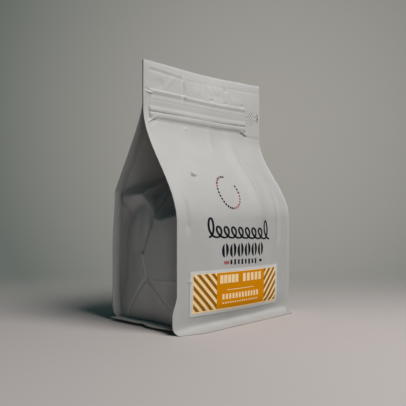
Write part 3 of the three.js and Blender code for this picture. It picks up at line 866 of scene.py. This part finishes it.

# This crescent is painted shadow in the near-black ink, laid where a slit cut through the film would show
# shade.
lay("painted_slit_shadow", [crescent], as_is, INK_LIFT, INK_THICKNESS, dark_ink_and_slit_shadow)
lay("dot_ring", dark_dots, as_is, INK_LIFT, INK_THICKNESS, dark_ink_and_slit_shadow)
lay("dot_ring_red", red_dots, as_is, INK_LIFT, INK_THICKNESS, red_ink)
lay("looped_line", ribbon(*looped_line(), LOOP_STROKE), as_is, INK_LIFT, INK_THICKNESS, dark_ink_and_slit_shadow)
lay("bean_row", beans, as_is, INK_LIFT, INK_THICKNESS, dark_ink_and_slit_shadow)
lay("stroke_row", strokes + right_mark, as_is, INK_LIFT, INK_THICKNESS, dark_ink_and_slit_shadow)
lay("stroke_row_red", left_mark, as_is, INK_LIFT, INK_THICKNESS, red_ink)

# ---- label ------------------------------------------------------------------------------------------
# A paper label stuck on a little askew: a white border round a cream ground, an orange field, and a band
# of slanting stripes at each end. Pale blocks and a thin rule stand where the field carries its print.

LABEL_LEFT, LABEL_RIGHT = -57.8, 47.2
LABEL_LOW, LABEL_HIGH = 10.2, 43.4
LABEL_TILT = -1
LABEL_LIFT = 0.08
LABEL_THICKNESS = 0.22
LABEL_WIDTH = LABEL_RIGHT - LABEL_LEFT
LABEL_TALL = LABEL_HIGH - LABEL_LOW

label_paper = matt_finish("label paper", (0.66, 0.625, 0.605), (0.60, 0.57, 0.55), 0.62, 2200, 0.03)
orange_ink = matt_finish(
    "orange ink", (0.69, 0.250, 0.003), (0.63, 0.222, 0.002), 0.6, 2200, 0.02, gloss=0)
stripe_ink = matt_finish(
    "stripe ink", (0.32, 0.125, 0.006), (0.28, 0.105, 0.005), 0.6, 2200, 0.02, gloss=0)
cream_ink = matt_finish("cream ink", (0.96, 0.70, 0.38), (0.91, 0.66, 0.35), 0.6, 2200, 0.02, gloss=0.1)


def on_label(u, v):
    """From the middle of the label, along it and up it, to the bag's x and z."""
    turn = math.radians(LABEL_TILT)
    return ((LABEL_LEFT + LABEL_RIGHT) / 2 + u * math.cos(turn) - v * math.sin(turn),
            (LABEL_LOW + LABEL_HIGH) / 2 + u * math.sin(turn) + v * math.cos(turn))


label = lay("label_paper", [bar((0, 0), LABEL_WIDTH, LABEL_TALL)], on_label, LABEL_LIFT, LABEL_THICKNESS,
            label_paper)
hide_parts("label")

PRINT_THICKNESS = 0.04
GROUND_LIFT = LABEL_LIFT + LABEL_THICKNESS + 0.01
FIELD_LIFT = GROUND_LIFT + PRINT_THICKNESS + 0.01
BLOCK_LIFT = FIELD_LIFT + PRINT_THICKNESS + 0.01
FIELD_LEFT, FIELD_RIGHT = -26.5, 31.2
FIELD_LOW, FIELD_HIGH = -13.2, 14.0
ZONE_LEFT, ZONE_RIGHT = -49.4, 49.0
GROUND_MARGIN = 0.4
GROUND_LOW, GROUND_HIGH = -14.4, 14.3
STRIPE_PITCH = 6.9
STRIPE_WIDTH = 3.5


def clipped(shape, left, right, low, high):
    """A convex shape cut to a rectangle."""
    for axis, limit, keep in ((0, left, 1), (0, right, -1), (1, low, 1), (1, high, -1)):
        kept = []
        for here, there in zip(shape, shape[1:] + shape[:1]):
            inside, next_inside = (keep * (point[axis] - limit) >= 0 for point in (here, there))
            if inside:
                kept.append(here)
            if inside != next_inside:
                t = (limit - here[axis]) / (there[axis] - here[axis])
                kept.append((lerp(here[0], there[0], t), lerp(here[1], there[1], t)))
        shape = kept
        if not shape:
            return []
    return shape


def stripes(left, right, direction):
    tall = FIELD_HIGH - FIELD_LOW
    middle = ((left + right) / 2, (FIELD_LOW + FIELD_HIGH) / 2)
    reach = int((right - left + tall) / STRIPE_PITCH) + 1
    bands = [bar((middle[0] + k * STRIPE_PITCH, middle[1]), STRIPE_WIDTH, tall, slant=direction * tall / 2)
             for k in range(-reach, reach + 1)]
    cut = [clipped(band, left, right, FIELD_LOW, FIELD_HIGH) for band in bands]
    return [band for band in cut if len(band) > 2]


def patch(left, right, low, high):
    return [bar(((left + right) / 2, (low + high) / 2), right - left, high - low)]


ground = patch(ZONE_LEFT - GROUND_MARGIN, ZONE_RIGHT + GROUND_MARGIN, GROUND_LOW, GROUND_HIGH)
lay("label_ground", ground, on_label, GROUND_LIFT, PRINT_THICKNESS, cream_ink)
field = patch(FIELD_LEFT, FIELD_RIGHT, FIELD_LOW, FIELD_HIGH)
lay("label_field", field, on_label, FIELD_LIFT, PRINT_THICKNESS, orange_ink)
dark_bands = stripes(ZONE_LEFT, FIELD_LEFT, -1) + stripes(FIELD_RIGHT, ZONE_RIGHT, 1)
lay("label_stripes", dark_bands, on_label, FIELD_LIFT, PRINT_THICKNESS, stripe_ink)

# Rows of blocks: first and last, how many, height on the label, width and height of each
BLOCK_ROWS = [
    (-21.5, -4.5, 5, 9.0, 3.5, 6.4), (4.5, 25.0, 5, 9.0, 3.5, 6.4),
    (-19.5, 21.5, 12, -4.4, 2.4, 4.0), (-19.5, 21.5, 16, -9.2, 1.7, 1.1)]
RULE = bar((0.6, 0.6), 33, 0.5)

blocks = [RULE] + [bar((u, v), wide, high) for first, last, count, v, wide, high in BLOCK_ROWS
                   for u in np.linspace(first, last, count)]
lay("label_blocks", blocks, on_label, BLOCK_LIFT, PRINT_THICKNESS, cream_ink)

# ---- studio -----------------------------------------------------------------------------------------
# A pale floor that fades into a grey room, one soft light high in front, and a weak cool one low
# and far in front, so that the folded side stays in deep shade. The wall the camera sees has a pool
# of light painted on it, with painted shade away from it.

FLOOR_CENTRE = (-573, -557)
FLOOR_CLEAR = 0.76
FLOOR_GONE = 1.15
FLOOR_RADIUS = 1.25
# The wall's two colours are painted light and shade: lit within the painted pool, shaded away from it.
WALL_PAINTED_LIT = (0.345, 0.330, 0.305)
WALL_PAINTED_SHADE = (0.130, 0.147, 0.132)
PAINTED_POOL_DIRECTION = (0.788, 0.601, 0.135)  # the way to the middle of the pool of light painted on the wall
PAINTED_POOL_FADES = 0.77
AMBIENT = (0.010, 0.038, 0.040)
KEY_PLACE = (30, -510, 840)
KEY_SIZE = 0.46
KEY_POWER = 8.4
KEY_COLOUR = (1.0, 0.985, 0.965)
FILL_PLACE = (-240, -970, 120)
FILL_SIZE = 0.4
FILL_POWER = 1.15
FILL_COLOUR = (0.82, 1.0, 1.0)
FLOOR_COLOUR = (0.52, 0.470, 0.460)
LIGHTS_AIM_AT = (0, 0, 80)

floor_mesh = bpy.data.meshes.new("floor")
disc = bmesh.new()
bmesh.ops.create_circle(disc, cap_ends=True, radius=FLOOR_RADIUS, segments=96)
bmesh.ops.translate(disc, verts=disc.verts, vec=Vector((*FLOOR_CENTRE, -0.02)) * MM)
disc.to_mesh(floor_mesh)
disc.free()
floor = bpy.data.objects.new("floor", floor_mesh)
scene.collection.objects.link(floor)

paper_floor = bpy.data.materials.new("paper floor")
paper_floor.use_nodes = True
nodes, links = paper_floor.node_tree.nodes, paper_floor.node_tree.links
nodes.clear()
surface = nodes.new("ShaderNodeOutputMaterial")
matt = nodes.new("ShaderNodeBsdfDiffuse")
matt.inputs["Color"].default_value = (*FLOOR_COLOUR, 1)
clear = nodes.new("ShaderNodeBsdfTransparent")
fade = nodes.new("ShaderNodeMixShader")
where = nodes.new("ShaderNodeTexCoord")
distance = nodes.new("ShaderNodeVectorMath")
distance.operation = "DISTANCE"
distance.inputs[1].default_value = Vector((*FLOOR_CENTRE, 0)) * MM
ramp = nodes.new("ShaderNodeMapRange")
ramp.interpolation_type = "SMOOTHSTEP"
ramp.inputs["From Min"].default_value = FLOOR_CLEAR
ramp.inputs["From Max"].default_value = FLOOR_GONE
links.new(where.outputs["Object"], distance.inputs[0])
links.new(distance.outputs["Value"], ramp.inputs["Value"])
links.new(ramp.outputs["Result"], fade.inputs["Fac"])
links.new(matt.outputs["BSDF"], fade.inputs[1])
links.new(clear.outputs["BSDF"], fade.inputs[2])
links.new(fade.outputs["Shader"], surface.inputs["Surface"])
floor_mesh.materials.append(paper_floor)


def soft_light(name, place, size, power, colour):
    data = bpy.data.lights.new(name, "AREA")
    data.shape = "DISK"
    data.size = size
    data.energy = power
    data.color = colour
    light = bpy.data.objects.new(name, data)
    light.location = Vector(place) * MM
    light.rotation_euler = (Vector(LIGHTS_AIM_AT) - Vector(place)).to_track_quat("-Z", "Y").to_euler()
    scene.collection.objects.link(light)


soft_light("key", KEY_PLACE, KEY_SIZE, KEY_POWER, KEY_COLOUR)
soft_light("fill", FILL_PLACE, FILL_SIZE, FILL_POWER, FILL_COLOUR)

room = bpy.data.worlds.new("room")
room.use_nodes = True
nodes, links = room.node_tree.nodes, room.node_tree.links
seen = nodes["Background"]
heading = nodes.new("ShaderNodeTexCoord")
nearness = nodes.new("ShaderNodeVectorMath")
nearness.operation = "DOT_PRODUCT"
nearness.inputs[1].default_value = PAINTED_POOL_DIRECTION
evened = nodes.new("ShaderNodeMath")
evened.operation = "POWER"
evened.inputs[1].default_value = 2
# Painted light: the wall colour the camera sees is lighter towards a painted pool of light and darker away
# from it.
painted_pool_falloff = nodes.new("ShaderNodeMapRange")
painted_pool_falloff.inputs["From Min"].default_value = PAINTED_POOL_FADES
painted_wall_light = nodes.new("ShaderNodeMix")
painted_wall_light.data_type = "RGBA"
painted_wall_light.inputs["A"].default_value = (*WALL_PAINTED_SHADE, 1)
painted_wall_light.inputs["B"].default_value = (*WALL_PAINTED_LIT, 1)
links.new(heading.outputs["Generated"], nearness.inputs[0])
links.new(nearness.outputs["Value"], evened.inputs[0])
links.new(evened.outputs["Value"], painted_pool_falloff.inputs["Value"])
links.new(painted_pool_falloff.outputs["Result"], painted_wall_light.inputs["Factor"])
links.new(painted_wall_light.outputs["Result"], seen.inputs["Color"])
glow = nodes.new("ShaderNodeBackground")
glow.inputs["Color"].default_value = (*AMBIENT, 1)
rays = nodes.new("ShaderNodeLightPath")
either = nodes.new("ShaderNodeMixShader")
links.new(rays.outputs["Is Camera Ray"], either.inputs["Fac"])
links.new(glow.outputs["Background"], either.inputs[1])
links.new(seen.outputs["Background"], either.inputs[2])
links.new(either.outputs["Shader"], nodes["World Output"].inputs["Surface"])
scene.world = room
scene.view_settings.view_transform = "Standard"
